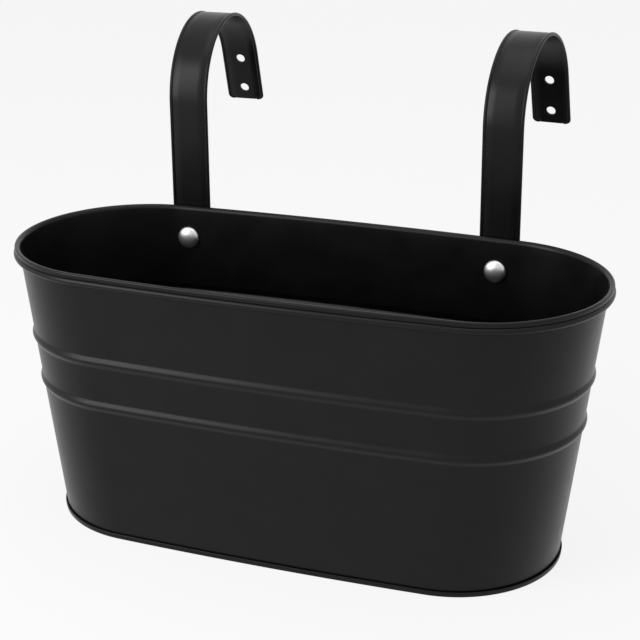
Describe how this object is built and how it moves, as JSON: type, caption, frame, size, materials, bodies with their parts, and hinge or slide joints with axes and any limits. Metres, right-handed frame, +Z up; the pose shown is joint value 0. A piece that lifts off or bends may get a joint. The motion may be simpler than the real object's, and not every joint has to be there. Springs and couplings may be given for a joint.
{
  "type": "railing planter",
  "caption": "Oval sheet-metal planter tub with a rolled rim and pressed ribs, hung on a railing by strap hooks bolted to its back wall.",
  "frame": {"origin": "bottom centre of the whole planter's box, on the surface that the base fold stands on", "axes": "+X along the tub's length, +Y from the tub towards the hooks' rear legs, +Z up"},
  "size_m": [0.3294, 0.2354, 0.2579],
  "materials": {
    "coated_steel": "black satin powder coat",
    "zinc_steel": "bright zinc plate"
  },
  "bodies": {
    "root": {"tub_wall": "coated_steel", "tub_base": "coated_steel", "hook_left": "coated_steel", "bolt_left": "zinc_steel", "washer_left": "zinc_steel", "nut_left": "zinc_steel", "hook_right": "coated_steel", "bolt_right": "zinc_steel", "washer_right": "zinc_steel", "nut_right": "zinc_steel"}
  },
  "joints": []
}
